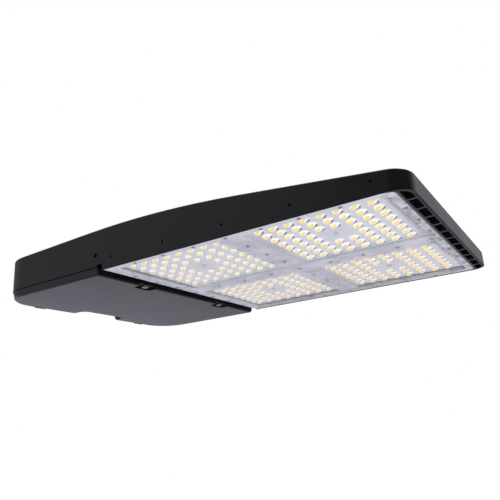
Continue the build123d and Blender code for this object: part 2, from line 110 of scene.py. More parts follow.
# White reflector frame on the heat sink round the boards.
film_z = (-16.3 * mm, -15.0 * mm)
film_half_board = 65.9 * mm
film_inset = 10.0 * mm

# Painted light behind the plate: a faint glow for the light that lenses gather and frosted plastic
# passes on.
board_painted_glow = 0.1
frame_painted_glow = 0.3
# The reflector mounds glow most, as a painted highlight.
reflector_painted_glow = 0.65
# The yellow phosphor glows too, as painted light.
phosphor_painted_glow = 0.85
white = (1.0, 1.0, 1.0)
phosphor_painted_glow_colour = (0.94, 0.58, 0.0)

# One emitter: a white mound on the board, with a yellow patch on the side that faces the camera.
board_face_z = -16.1 * mm
mound_foot_z = -17.3 * mm
mound_height = 1.6 * mm
mound_half_front_near = (4.8 * mm, 4.2 * mm)
mound_half_front_far = (4.2 * mm, 3.4 * mm)
mound_half_rear = (3.0 * mm, 3.4 * mm)
mound_slide_front_near = (1.1 * mm, 0.5 * mm)
mound_slide_front_far = (0.7 * mm, 0.5 * mm)
no_slide = (0.0, 0.0)
mound_levels = (30.0, 55.0, 75.0)
mound_sides = 16
phosphor_half_long = 3.0 * mm
phosphor_half_short = 1.4 * mm
phosphor_tilt = 25.0
phosphor_shift_front_near = -1.3 * mm
phosphor_shift_front_far = -0.6 * mm
phosphor_shift_rear = 0.2 * mm
phosphor_drop = -0.55 * mm
phosphor_thickness = 0.1 * mm
phosphor_root = 0.3 * mm
phosphor_sides = 12
phosphor_inner_ring = 0.5
phosphor_grow_front_near = 1.0
phosphor_grow_front_far = 1.25
phosphor_grow_rear_far = 1.15
phosphor_grow_rear_near = 0.88

# Painted shade: a dark sickle on the far front side of each mound in the front modules.
sickle_angles = (-30.0, 125.0)
sickle_steps = 8
sickle_levels = (0.0, 35.0, 68.0)
sickle_reach = (0.3 * mm, 0.8 * mm)
sickle_taper = 4

# Screws of the plate, along its lip and its cross bands. Profiles are shares of radius and rise.
lens_screw_pitch = 38.4 * mm
lens_screws_each_way = 3
lens_screw_inset = 4.6 * mm
lens_screw_radius = 1.9 * mm
lens_screw_rise = 0.9 * mm
lens_screw_profile = ((1.0, 0.0), (1.0, 0.5), (0.8, 0.9), (0.5, 1.0))
lens_screw_slot = 0.6 * mm
lens_screw_slot_length = 1.5
lens_screw_slot_depth = 0.45
lens_screw_sides = 12
band_boss_radius = 3.0 * mm
band_boss_rise = 0.4 * mm
band_boss_profile = ((1.0, 0.0), (1.0, 0.6), (0.9, 1.0))
band_boss_sides = 16

# Where the driver cover's bottom ends and its duller front wall begins.
cover_wall_x = (178.2 * mm, 178.9 * mm)
cover_wall_shine = 0.04

# Captive screws of the driver cover.
captive_x = 174.0 * mm
captive_y = 78.0 * mm
captive_head_radius = 4.2 * mm
captive_head_z = (-27.1 * mm, -25.5 * mm)
captive_head_bevel = 0.5 * mm
captive_tip_z = -7.5 * mm
captive_tip_share = 0.8
captive_shank_radius = 2.5 * mm
captive_core_radius = 2.15 * mm
captive_thread_start_z = -16.0 * mm
captive_thread_pitch = 0.8 * mm
captive_plain_tip = 1.5
captive_sides = 24
captive_slot_width = 1.3 * mm
captive_slot_length = 3
captive_slot_depth = 1.2 * mm

# Surfaces: noise as scale and detail, roughness from low to high, grain as strength and height.
coat_clouds = (22.0, 3.0)
coat_speckle = (1500.0, 2.0)
coat_grain = (0.16, 0.06 * mm)
rubber_roughness = 0.75
rubber_speckle = (700.0, 2.0)
rubber_grain = (0.2, 0.05 * mm)
steel_plain_roughness = 0.32
steel_roughness = (0.22, 0.4)
steel_streaks = (900.0, 3.0)
steel_grain = (0.08, 0.02 * mm)
moulded_speckle = (420.0, 3.0)
moulded_grain = (0.15, 0.04 * mm)
board_roughness = 0.45
board_traces = (160.0, 0.0)
board_stretch = (1.0, 3.0, 1.0)
board_trace_edges = (0.48, 0.52)
phosphor_roughness = 0.6
phosphor_speckle = (900.0, 2.0)
lit_white_roughness = 0.4
clear_tint = (0.97, 0.97, 1.0)
clear_ior = 1.49
clear_plain_roughness = 0.03
clear_roughness = (0.01, 0.05)
clear_ripple = (70.0, 2.0)
clear_grain = (0.05, 0.3 * mm)
frost_roughness = (0.25, 0.5)
frost_clouds = (60.0, 5.0)
frost_speckle = (1100.0, 2.0)
frost_grain = (0.2, 0.05 * mm)
plain_shine = 0.5

# Parts of the noise's range over which colour and roughness change.
noise_middle = 0.5
colour_spread = (0.35, 0.65)
roughness_spread = (0.3, 0.7)


def new_finish(name, colour, roughness, metallic=0.0):
    material = bpy.data.materials.new(name)
    material.use_nodes = True
    shader = material.node_tree.nodes["Principled BSDF"]
    shader.inputs["Base Color"].default_value = (*colour, 1.0)
    shader.inputs["Roughness"].default_value = roughness
    shader.inputs["Metallic"].default_value = metallic
    return material, shader


def surface_noise(material, fineness, stretch=(1.0, 1.0, 1.0)):
    """Noise in the piece's own coordinates."""
    nodes = material.node_tree.nodes
    links = material.node_tree.links
    place = nodes.new("ShaderNodeTexCoord")
    mapping = nodes.new("ShaderNodeMapping")
    mapping.inputs["Scale"].default_value = stretch
    noise = nodes.new("ShaderNodeTexNoise")
    noise.inputs["Scale"].default_value, noise.inputs["Detail"].default_value = fineness
    links.new(place.outputs["Object"], mapping.inputs["Vector"])
    links.new(mapping.outputs["Vector"], noise.inputs["Vector"])
    return noise.outputs["Fac"]


def vary_colour(material, shader, factor, dark, light, spread=colour_spread):
    ramp = material.node_tree.nodes.new("ShaderNodeValToRGB")
    for step, position, colour in zip(ramp.color_ramp.elements, spread, (dark, light)):
        step.position = position
        step.color = (*colour, 1.0)
    material.node_tree.links.new(factor, ramp.inputs["Fac"])
    material.node_tree.links.new(ramp.outputs["Color"], shader.inputs["Base Color"])


def vary_roughness(material, shader, factor, low, high):
    spread = material.node_tree.nodes.new("ShaderNodeMapRange")
    spread.inputs["From Min"].default_value = roughness_spread[0]
    spread.inputs["From Max"].default_value = roughness_spread[1]
    spread.inputs["To Min"].default_value = low
    spread.inputs["To Max"].default_value = high
    material.node_tree.links.new(factor, spread.inputs["Value"])
    material.node_tree.links.new(spread.outputs["Result"], shader.inputs["Roughness"])


def raise_grain(material, shader, factor, grain):
    bump = material.node_tree.nodes.new("ShaderNodeBump")
    bump.inputs["Strength"].default_value, bump.inputs["Distance"].default_value = grain
    material.node_tree.links.new(factor, bump.inputs["Height"])
    material.node_tree.links.new(bump.outputs["Normal"], shader.inputs["Normal"])


# Painted light: emission on a part that is no lamp.
def add_painted_glow(shader, colour, strength):
    shader.inputs["Emission Color"].default_value = (*colour, 1.0)
    shader.inputs["Emission Strength"].default_value = strength


def powder_coat(name, dark, light, low, high):
    material, shader = new_finish(name, light, high)
    broad = surface_noise(material, coat_clouds)
    vary_colour(material, shader, broad, dark, light)
    vary_roughness(material, shader, broad, low, high)
    raise_grain(material, shader, surface_noise(material, coat_speckle), coat_grain)
    return material


def rubber_finish(name, dark, light):
    material, shader = new_finish(name, light, rubber_roughness)
    speckle = surface_noise(material, rubber_speckle)
    vary_colour(material, shader, speckle, dark, light)
    raise_grain(material, shader, speckle, rubber_grain)
    return material


def steel_finish(name, dark, light, stretch):
    material, shader = new_finish(name, light, steel_plain_roughness, metallic=1.0)
    streaks = surface_noise(material, steel_streaks, stretch)
    vary_colour(material, shader, streaks, dark, light)
    vary_roughness(material, shader, streaks, *steel_roughness)
    raise_grain(material, shader, streaks, steel_grain)
    return material


def moulded_finish(name, dark, light, low, high):
    material, shader = new_finish(name, light, high)
    speckle = surface_noise(material, moulded_speckle)
    vary_colour(material, shader, speckle, dark, light)
    vary_roughness(material, shader, speckle, low, high)
    raise_grain(material, shader, speckle, moulded_grain)
    return material


def board_finish(name, plain, dark, light):
    material, shader = new_finish(name, plain, board_roughness)
    traces = surface_noise(material, board_traces, board_stretch)
    vary_colour(material, shader, traces, dark, light, board_trace_edges)
    # Painted light: a faint glow on the white board.
    add_painted_glow(shader, white, board_painted_glow)
    return material


def phosphor_finish(name, plain, dark, light):
    material, shader = new_finish(name, plain, phosphor_roughness)
    vary_colour(material, shader, surface_noise(material, phosphor_speckle), dark, light)
    # Painted light: the yellow phosphor glows.
    add_painted_glow(shader, phosphor_painted_glow_colour, phosphor_painted_glow)
    return material


def painted_glow_white_finish(name, dark, light, glow):
    """White plastic behind the plate, with a faint painted glow that stands in for light."""
    material, shader = new_finish(name, light, lit_white_roughness)
    vary_colour(material, shader, surface_noise(material, moulded_speckle), dark, light)
    add_painted_glow(shader, white, glow)
    return material


def clear_plastic(name):
    material, shader = new_finish(name, clear_tint, clear_plain_roughness)
    shader.inputs["IOR"].default_value = clear_ior
    shader.inputs["Transmission Weight"].default_value = 1.0
    return material, shader


def clear_finish(name):
    material, shader = clear_plastic(name)
    ripple = surface_noise(material, clear_ripple)
    vary_roughness(material, shader, ripple, *clear_roughness)
    raise_grain(material, shader, ripple, clear_grain)
    return material


def axes(owner, kind="Object"):
    """The X, Y and Z of each point of a material or of the world."""
    place = owner.node_tree.nodes.new("ShaderNodeTexCoord")
    split = owner.node_tree.nodes.new("ShaderNodeSeparateXYZ")
    owner.node_tree.links.new(place.outputs[kind], split.inputs[0])
    return split.outputs["X"], split.outputs["Y"], split.outputs["Z"]


def work_out(owner, operation, first, second=0.0):
    """One Math node on sockets or plain numbers."""
    node = owner.node_tree.nodes.new("ShaderNodeMath")
    node.operation = operation
    for socket, value in zip(node.inputs, (first, second)):
        if isinstance(value, float):
            socket.default_value = value
        else:
            owner.node_tree.links.new(value, socket)
    return node.outputs[0]


def largest(owner, shares):
    result = shares[0]
    for share in shares[1:]:
        result = work_out(owner, "MAXIMUM", result, share)
    return result


def soft_step(owner, value, start, end, first=0.0, last=1.0):
    """The first level at start and the last one at end, eased in between."""
    node = owner.node_tree.nodes.new("ShaderNodeMapRange")
    node.interpolation_type = "SMOOTHSTEP"
    node.inputs["From Min"].default_value = min(start, end)
    node.inputs["From Max"].default_value = max(start, end)
    node.inputs["To Min"].default_value = first if start < end else last
    node.inputs["To Max"].default_value = last if start < end else first
    owner.node_tree.links.new(value, node.inputs["Value"])
    return node.outputs["Result"]


def mix_shaders(owner, share, first, second):
    mix = owner.node_tree.nodes.new("ShaderNodeMixShader")
    for socket, source in zip(mix.inputs, (share, first, second)):
        owner.node_tree.links.new(source, socket)
    return mix.outputs[0]


def mix_colour(material, share, plain, colour):
    """The plain colour, turned into another one where the share is 1."""
    mix = material.node_tree.nodes.new("ShaderNodeMix")
    mix.data_type = "RGBA"
    colour_in = [socket for socket in mix.inputs if socket.type == "RGBA"]
    material.node_tree.links.new(share, mix.inputs[0])
    material.node_tree.links.new(plain, colour_in[0])
    colour_in[1].default_value = (*colour, 1.0)
    return [socket for socket in mix.outputs if socket.type == "RGBA"][0]


def take_shine(material, shader, share, shine):
    """Brings the shader's shine down where the share is 1."""
    fade = material.node_tree.nodes.new("ShaderNodeMapRange")
    fade.inputs["To Min"].default_value = plain_shine
    fade.inputs["To Max"].default_value = shine
    material.node_tree.links.new(share, fade.inputs["Value"])
    material.node_tree.links.new(fade.outputs["Result"], shader.inputs["Specular IOR Level"])


def tone_frost(material, frost, cloud):
    """Cloudy frost, with the tones of the sides and the front lip, painted shade on the far lip and
    a painted shadow line at the front edge.
    """
    vary_colour(material, frost, cloud, frost_dark, frost_light)
    tone = frost.inputs["Base Color"].links[0].from_socket
    x, y, _ = axes(material)
    across = work_out(material, "ABSOLUTE", y)
    side = soft_step(material, across, lip_inner_y - edge_frost, lip_inner_y)
    near_front = soft_step(material, x, lens_front_x - smudge_reach, lip_inner_front_x)
    blotch = soft_step(material, surface_noise(material, smudge_clouds), *smudge_edges)
    patchy = work_out(material, "MULTIPLY", near_front, blotch)
    smudge = work_out(material, "MULTIPLY", patchy, smudge_share)
    # Painted shade: the far lip turns grey.
    far = soft_step(material, y, lip_inner_y - far_lip_fade, lip_inner_y)
    # Painted shadow: a dark line along the front edge.
    edge = soft_step(material, x, lens_front_x - front_edge[0], lens_front_x - front_edge[1])
    for share, colour in (
        (side, side_frost),
        (smudge, smudge_grey),
        (far, far_lip_painted_shade),
        (edge, front_edge_painted_shadow),
    ):
        tone = mix_colour(material, share, tone, colour)
    material.node_tree.links.new(tone, frost.inputs["Base Color"])
    take_shine(material, frost, far, far_lip_shine)


def frosted_finish(name):
    """Clear plastic that turns frosted along the cross bands and the edges of the plate."""
    material, clear = clear_plastic(name)
    nodes = material.node_tree.nodes
    frost = nodes.new("ShaderNodeBsdfPrincipled")
    cloud = surface_noise(material, frost_clouds)
    tone_frost(material, frost, cloud)
    vary_roughness(material, frost, cloud, *frost_roughness)
    raise_grain(material, frost, surface_noise(material, frost_speckle), frost_grain)
    x, y, _ = axes(material)
    swing = work_out(material, "SUBTRACT", cloud, noise_middle)
    wobble = work_out(material, "MULTIPLY", swing, frost_wobble)
    along = work_out(material, "ADD", x, wobble)
    across = work_out(material, "ADD", work_out(material, "ABSOLUTE", y), wobble)
    from_middle = work_out(material, "ABSOLUTE", work_out(material, "SUBTRACT", along, grid_x))
    share = largest(material, [
        soft_step(material, from_middle, band_clear, band_frosted),
        soft_step(material, across, band_clear, band_frosted),
        soft_step(material, across, lip_inner_y - edge_frost, lip_inner_y),
        soft_step(material, along, lip_inner_front_x - edge_frost, lip_inner_front_x),
        soft_step(material, along, lip_inner_rear_x + edge_frost, lip_inner_rear_x),
    ])
    shown = mix_shaders(material, share, clear.outputs[0], frost.outputs[0])
    material.node_tree.links.new(shown, nodes["Material Output"].inputs["Surface"])
    return material


def leave_front_wall_matt(material):
    """Less shine on the cover's front wall, which faces the gap before the lens plate."""
    wall = soft_step(material, axes(material)[0], *cover_wall_x)
    take_shine(material, material.node_tree.nodes["Principled BSDF"], wall, cover_wall_shine)


def painted_glow_under_bands(material, glow):
    """Keeps the painted glow to the frame's cross bands and far side, where frosted plastic shades
    it, so that it lightens that shade.
    """
    x, y, _ = axes(material)
    from_middle = work_out(material, "ABSOLUTE", work_out(material, "SUBTRACT", x, grid_x))
    across = work_out(material, "ABSOLUTE", y)
    share = largest(material, [
        soft_step(material, from_middle, band_clear, band_frosted),
        soft_step(material, across, band_clear, band_frosted),
        soft_step(material, y, film_half_board, module_step / 2 + film_half_board),
    ])
    strength = work_out(material, "MULTIPLY", share, glow)
    shader = material.node_tree.nodes["Principled BSDF"]
    material.node_tree.links.new(strength, shader.inputs["Emission Strength"])


housing_coat = powder_coat(
    "housing_coat", (0.0025, 0.0026, 0.0032), (0.0045, 0.0047, 0.0056), 0.3, 0.38)
cover_coat = powder_coat(
    "cover_coat", (0.003, 0.0031, 0.0037), (0.005, 0.0052, 0.0061), 0.365, 0.395)
leave_front_wall_matt(cover_coat)
gasket_rubber = rubber_finish("gasket_rubber", (0.018, 0.018, 0.019), (0.034, 0.034, 0.035))
lens_seal = rubber_finish("lens_seal", (0.66, 0.66, 0.69), (0.76, 0.76, 0.79))
steel = steel_finish("steel", (0.5, 0.5, 0.52), (0.68, 0.68, 0.7), (1.0, 1.0, 0.2))
captive_steel = steel_finish(
    "captive_steel", (0.28, 0.28, 0.29), (0.42, 0.42, 0.44), (0.3, 1.0, 1.0))
nylon = moulded_finish("nylon", (0.02, 0.02, 0.021), (0.035, 0.035, 0.036), 0.45, 0.6)
white_board = board_finish(
    "white_board", (0.84, 0.84, 0.86), (0.86, 0.86, 0.91), (0.94, 0.94, 0.97))
phosphor = phosphor_finish(
    "phosphor", (0.92, 0.66, 0.01), (0.89, 0.63, 0.01), (0.94, 0.69, 0.02))
# Painted light: the white frame glows where the frosted bands shade it, and the reflector mounds
# glow as painted highlights.
frame_white = painted_glow_white_finish("frame_white", (0.82, 0.82, 0.84), (0.88, 0.88, 0.9), frame_painted_glow)
painted_glow_under_bands(frame_white, frame_painted_glow)
reflector_white = painted_glow_white_finish(
    "reflector_white", (0.84, 0.84, 0.85), (0.9, 0.9, 0.9), reflector_painted_glow)
# Painted shade: dark grey for the sickles beside the mounds.
painted_shade_grey = moulded_finish(
    "painted_shade_grey", (0.012, 0.012, 0.014), (0.025, 0.025, 0.028), 0.5, 0.65)
clear_lens = clear_finish("clear_lens")
frosted_lens = frosted_finish("frosted_lens")
driver_case = steel_finish(
    "driver_case", (0.42, 0.43, 0.45), (0.58, 0.59, 0.61), (1.0, 0.05, 1.0))
surge_case = moulded_finish(
    "surge_case", (0.02, 0.02, 0.022), (0.034, 0.034, 0.037), 0.35, 0.5)
terminal_plastic = moulded_finish(
    "terminal_plastic", (0.62, 0.6, 0.54), (0.7, 0.68, 0.62), 0.35, 0.5)

slot_finishes = {
    "housing_coat": housing_coat,
    "cover_coat": cover_coat,
    "gasket_rubber": gasket_rubber,
    "lens_seal": lens_seal,
    "steel": steel,
    "captive_steel": captive_steel,
    "nylon": nylon,
    "clear_lens": clear_lens,
    "white_board": white_board,
    "phosphor": phosphor,
    "driver_case": driver_case,
    "surge_case": surge_case,
    "terminal_plastic": terminal_plastic,
}


def dress_cad_nodes():
    for part in frame["record"]["subparts"]:
        node = frame["nodes"][part["node"]]
        node.data.materials.clear()
        node.data.materials.append(slot_finishes[part["material_slot"]])


def mesh_from(bm, name):
    mesh = bpy.data.meshes.new(name)
    bm.to_mesh(mesh)
    bm.free()
    return mesh


def add_object(name, data):
    item = bpy.data.objects.new(name, data)
    bpy.context.scene.collection.objects.link(item)
    return item


def add_piece(name, mesh, finishes, body):
    piece = add_object(name, mesh)
    for place, material in enumerate(finishes):
        if place < len(mesh.materials):
            mesh.materials[place] = material
        else:
            mesh.materials.append(material)
    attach(piece, body)
    return piece


def repeat_tree():
    """Geometry Nodes tree that sets a template on every point, at a chosen size."""
    tree = bpy.data.node_groups.new("repeat_on_points", "GeometryNodeTree")
    tree.is_modifier = True
    for name, way, kind in (
        ("Geometry", "INPUT", "NodeSocketGeometry"),
        ("Template", "INPUT", "NodeSocketObject"),
        ("Size", "INPUT", "NodeSocketVector"),
        ("Finish", "INPUT", "NodeSocketMaterial"),
        ("Geometry", "OUTPUT", "NodeSocketGeometry"),
    ):
        tree.interface.new_socket(name, in_out=way, socket_type=kind)
    entry = tree.nodes.new("NodeGroupInput")
    info = tree.nodes.new("GeometryNodeObjectInfo")
    spread = tree.nodes.new("GeometryNodeInstanceOnPoints")
    real = tree.nodes.new("GeometryNodeRealizeInstances")
    coat = tree.nodes.new("GeometryNodeSetMaterial")
    leave = tree.nodes.new("NodeGroupOutput")
    tree.links.new(entry.outputs["Template"], info.inputs["Object"])
    tree.links.new(entry.outputs["Geometry"], spread.inputs["Points"])
    tree.links.new(info.outputs["Geometry"], spread.inputs["Instance"])
    tree.links.new(entry.outputs["Size"], spread.inputs["Scale"])
    tree.links.new(spread.outputs["Instances"], real.inputs["Geometry"])
    tree.links.new(real.outputs["Geometry"], coat.inputs["Geometry"])
    tree.links.new(entry.outputs["Finish"], coat.inputs["Material"])
    tree.links.new(coat.outputs["Geometry"], leave.inputs["Geometry"])
    return tree


repeat_on_points = repeat_tree()


def repeated_mesh(name, mesh, points, finish, size=(1.0, 1.0, 1.0)):
    """A plain mesh with a copy of another mesh at every point."""
    template = add_object(name + "_template", mesh)
    places = bpy.data.meshes.new(name + "_places")
    places.from_pydata(points, [], [])
    carrier = add_object(name + "_carrier", places)
    repeat = carrier.modifiers.new("repeat", "NODES")
    repeat.node_group = repeat_on_points
    inputs = {"Template": template, "Size": size, "Finish": finish}
    for item in repeat_on_points.interface.items_tree:
        if item.in_out == "INPUT" and item.name in inputs:
            repeat[item.identifier] = inputs[item.name]
    depsgraph = bpy.context.evaluated_depsgraph_get()
    repeated = bpy.data.meshes.new_from_object(carrier.evaluated_get(depsgraph))
    repeated.name = name
    bpy.data.objects.remove(carrier)
    bpy.data.objects.remove(template)
    return repeated


def module_centres():
    half = module_step / 2
    return [(grid_x + along * half, across * half) for along in (-1, 1) for across in (-1, 1)]


def cell_places(z, plain):
    """Middles of the cells with a lens, or of the plain cells in the middle of each module."""
    places = []
    first = -led_pitch * (cells - 1) / 2
    for centre_x, centre_y in module_centres():
        for column in range(cells):
            for row in range(cells):
                if (column in plain_cells and row in plain_cells) == plain:
                    x = centre_x + first + column * led_pitch
                    y = centre_y + first + row * led_pitch
                    places.append((x, y, z))
    return places


def square_point(angle, half):
    across = max(abs(math.cos(angle)), abs(math.sin(angle)))
    return half * math.cos(angle) / across, half * math.sin(angle) / across


def ring_angles(count):
    return [2 * math.pi * step / count for step in range(count)]


def bridge_rings(bm, rings):
    """Four-sided faces between each ring of vertices and the next."""
    for low, high in zip(rings, rings[1:]):
        for step in range(len(low)):
            after = (step + 1) % len(low)
            bm.faces.new((low[step], low[after], high[after], high[step]))


def lens_cell_mesh():
    """One square cell of the plate's outer face with its low, smooth lens."""
    bm = bmesh.new()
    angles = ring_angles(dome_sides)
    rings = [[bm.verts.new((*square_point(angle, led_pitch / 2), 0.0)) for angle in angles]]
    for ring in range(dome_rings):
        reach = 1 - ring / dome_rings
        rise = dome_height * (1 + math.cos(math.pi * reach)) / 2
        ring_verts = []
        for angle in angles:
            x = dome_half_length * reach * math.cos(angle)
            y = dome_half_width * reach * math.sin(angle)
            ring_verts.append(bm.verts.new((x, y, -rise)))
        rings.append(ring_verts)
    top = bm.verts.new((0.0, 0.0, -dome_height))
    for outer, inner in zip(rings, rings[1:]):
        for step in range(dome_sides):
            after = (step + 1) % dome_sides
            bm.faces.new((outer[step], inner[step], inner[after], outer[after]))
    for step in range(dome_sides):
        bm.faces.new((rings[-1][step], top, rings[-1][(step + 1) % dome_sides]))
    for face in bm.faces:
        face.smooth = True
    return mesh_from(bm, "lens_cell")


def plate_outline(inset):
    """Plan of the plate, with its two front corners rounded."""
    rear = lens_rear_x + inset
    front = lens_front_x - inset
    side = lens_half_width - inset
    points = [(rear, side), (rear, -side)]
    for middle_y, start in ((-side + lens_corner, -90.0), (side - lens_corner, 0.0)):
        for step in range(corner_steps + 1):
            angle = math.radians(start + 90.0 * step / corner_steps)
            x = front - lens_corner + lens_corner * math.cos(angle)
            points.append((x, middle_y + lens_corner * math.sin(angle)))
    return points


def module_outline(centre):
    """Edge of a module, with a point wherever a cell has one."""
    half_cell = led_pitch / 2
    offsets = []
    for cell in range(cells):
        middle = -module_half + led_pitch * (cell + 0.5)
        for angle in ring_angles(dome_sides):
            x, y = square_point(angle, half_cell)
            if math.isclose(x, half_cell, abs_tol=same_point) and y < half_cell - same_point:
                offsets.append(middle + y)
    offsets.sort()
    points = []
    for side in range(4):
        spin = Matrix.Rotation(math.pi / 2 * side, 2)
        for offset in offsets:
            corner = spin @ Vector((module_half, offset))
            points.append((centre[0] + corner.x, centre[1] + corner.y))
    return points


def inside_square(point, centre, half):
    return abs(point[0] - centre[0]) < half and abs(point[1] - centre[1]) < half


def inside_module(point):
    return any(inside_square(point, centre, module_half) for centre in module_centres())


def flat_with_holes(outline, holes, inside_hole):
    """Points and triangles of a flat sheet with square holes."""
    coords = []
    edges = []
    for loop in [outline] + holes:
        start = len(coords)
        count = len(loop)
        coords.extend(Vector(point) for point in loop)
        edges.extend((start + step, start + (step + 1) % count) for step in range(count))
    keep_inside = 1
    points, _, triangles = delaunay_2d_cdt(coords, edges, [], keep_inside, same_sheet_point)[:3]
    kept = []
    for corners in triangles:
        middle = sum((points[corner] for corner in corners), Vector((0.0, 0.0))) / len(corners)
        if not inside_hole(middle):
            kept.append(corners)
    return points, kept


def plate_frame_mesh():
    """The plate round the modules: outer face, lip, sides and flat back."""
    bm = bmesh.new()
    inner = plate_outline(lens_lip)
    outer = plate_outline(0.0)
    modules = [module_outline(centre) for centre in module_centres()]
    points, triangles = flat_with_holes(inner, modules, inside_module)
    face_verts = [bm.verts.new((point.x, point.y, lens_face_z)) for point in points]
    for corners in triangles:
        bm.faces.new([face_verts[corner] for corner in reversed(corners)])
    levels = [
        [bm.verts.new((*point, lens_face_z)) for point in inner],
        [bm.verts.new((*point, lens_lip_z)) for point in inner],
        [bm.verts.new((*point, lens_lip_z)) for point in outer],
        [bm.verts.new((*point, lens_back_z)) for point in outer],
    ]
    bridge_rings(bm, levels)
    bm.faces.new(levels[-1])
    bmesh.ops.remove_doubles(bm, verts=bm.verts, dist=same_point)
    return mesh_from(bm, "plate_frame")


def build_lens_plate():
    cell = lens_cell_mesh()
    flat_size = (1.0, 1.0, plain_cell_rise)
    domes = repeated_mesh("lens_domes", cell, cell_places(lens_face_z, False), clear_lens)
    plains = repeated_mesh(
        "plain_cells", cell, cell_places(lens_face_z, True), clear_lens, flat_size)
    bm = bmesh.new()
    for mesh in (domes, plains, plate_frame_mesh()):
        bm.from_mesh(mesh)
    for face in bm.faces:
        face.material_index = 1
    bmesh.ops.remove_doubles(bm, verts=bm.verts, dist=same_point)
    bmesh.ops.recalc_face_normals(bm, faces=bm.faces)
    back = max(bm.faces, key=lambda face: face.calc_center_median().z)
    back.material_index = 0
    plate = mesh_from(bm, "clear_lens_plate")
    finishes = [clear_lens, frosted_lens]
    piece = add_piece("clear_lens_plate", plate, finishes, "housing")
    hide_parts("lens_plate")


def board_outline(centre):
    half = film_half_board
    return [(centre[0] + half * x, centre[1] + half * y) for x, y in square_corners]


def inside_board(point):
    return any(inside_square(point, centre, film_half_board) for centre in module_centres())


def build_reflector_film():
    boards = [board_outline(centre) for centre in module_centres()]
    points, triangles = flat_with_holes(plate_outline(film_inset), boards, inside_board)
    bm = bmesh.new()
    low, high = film_z
    verts = [bm.verts.new((point.x, point.y, low)) for point in points]
    for corners in triangles:
        bm.faces.new([verts[corner] for corner in corners])
    raised = bmesh.ops.extrude_face_region(bm, geom=bm.faces[:])["geom"]
    moved = [item for item in raised if isinstance(item, bmesh.types.BMVert)]
    bmesh.ops.translate(bm, vec=(0.0, 0.0, high - low), verts=moved)
    bmesh.ops.recalc_face_normals(bm, faces=bm.faces)
    film = mesh_from(bm, "reflector_film")
    add_piece("reflector_film", film, [frame_white], "housing")


def closed_stack(name, levels):
    """A closed solid through rings of points, with a flat face at both ends."""
    bm = bmesh.new()
    rings = [[bm.verts.new(point) for point in level] for level in levels]
    bridge_rings(bm, rings)
    bm.faces.new(rings[0])
    bm.faces.new(rings[-1])
    bmesh.ops.recalc_face_normals(bm, faces=bm.faces)
    return mesh_from(bm, name)


def mound_point(halves, turn, level):
    """A point of the mound's round top, turned about Z and raised above its foot."""
    reach = math.cos(math.radians(level))
    x = halves[0] * reach * math.cos(turn)
    y = halves[1] * reach * math.sin(turn)
    return Vector((x, y, mound_foot_z - mound_height * math.sin(math.radians(level))))


def mound_mesh(halves):
    """A white mound from the board to just behind the plate."""
    levels = []
    for level in (0.0, 0.0, *mound_levels):
        levels.append([mound_point(halves, turn, level) for turn in ring_angles(mound_sides)])
    for point in levels[0]:
        point.z = board_face_z
    return closed_stack("reflector_mound", levels)


def seen_on_mound(view, halves, right, up):
    """The point of a slightly larger mound that the camera sees at a place in its own view."""
    across = Vector((0.0, 0.0, 1.0)).cross(view).normalized()
    start = across * right + view.cross(across) * up
    sizes = [size + phosphor_thickness for size in (*halves, mound_height)]
    begin = Vector([value / size for value, size in zip(start, sizes)])
    aim = Vector([value / size for value, size in zip(view, sizes)])
    middle = -begin.dot(aim) / aim.dot(aim)
    spare = max(middle * middle - (begin.dot(begin) - 1) / aim.dot(aim), 0.0)
    point = start + view * (middle + math.sqrt(spare))
    return point + Vector((0.0, 0.0, mound_foot_z))


def phosphor_mesh(centre, halves, shift, grow):
    """A yellow patch on the mounds of one module, tilted in the camera's view."""
    view = (Vector(camera_place) - Vector((*centre, lens_face_z))).normalized()
    tilt = Matrix.Rotation(math.radians(phosphor_tilt), 2)
    bm = bmesh.new()
    levels = []
    for share in (phosphor_inner_ring * grow, grow):
        level = []
        for angle in ring_angles(phosphor_sides):
            long = phosphor_half_long * math.cos(angle)
            short = phosphor_half_short * math.sin(angle)
            place = tilt @ Vector((long, short))
            right = shift + share * place.x
            up = phosphor_drop + share * place.y
            level.append(seen_on_mound(view, halves, right, up))
        levels.append(level)
    levels.append([point - view * phosphor_root for point in levels[-1]])
    rings = [[bm.verts.new(point) for point in level] for level in levels]
    bridge_rings(bm, rings)
    middle = bm.verts.new(seen_on_mound(view, halves, shift, phosphor_drop))
    for step in range(phosphor_sides):
        bm.faces.new((rings[0][step], rings[0][(step + 1) % phosphor_sides], middle))
    bm.faces.new(rings[-1])
    bmesh.ops.recalc_face_normals(bm, faces=bm.faces)
    return mesh_from(bm, "phosphor_patch")


def painted_shade_sickle_mesh(halves):
    """A thin dark sickle of painted shade on the far front side of a mound."""
    bm = bmesh.new()
    sections = []
    first, last = sickle_angles
    for step in range(sickle_steps + 1):
        share = 2 * step / sickle_steps - 1
        turn = math.radians((first + last) / 2 + (last - first) / 2 * share)
        wide = 1 - share ** sickle_taper
        inner = [mound_point(halves, turn, level) for level in sickle_levels]
        outer = [point + Vector((*sickle_reach, 0.0)) * wide for point in reversed(inner)]
        sections.append([bm.verts.new(point) for point in inner + outer])
    bridge_rings(bm, sections)
    bmesh.ops.remove_doubles(bm, verts=bm.verts, dist=same_point)
    bmesh.ops.recalc_face_normals(bm, faces=bm.faces)
    return mesh_from(bm, "painted_shade_sickle")


def module_look(centre):
    """Half sizes and slide of a module's mounds, and the shift and growth of its yellow patches."""
    front = centre[0] > grid_x
    far = centre[1] > 0
    if front and far:
        return (mound_half_front_far, mound_slide_front_far,
                phosphor_shift_front_far, phosphor_grow_front_far)
    if front:
        return (mound_half_front_near, mound_slide_front_near,
                phosphor_shift_front_near, phosphor_grow_front_near)
    grow = phosphor_grow_rear_far if far else phosphor_grow_rear_near
    return mound_half_rear, no_slide, phosphor_shift_rear, grow


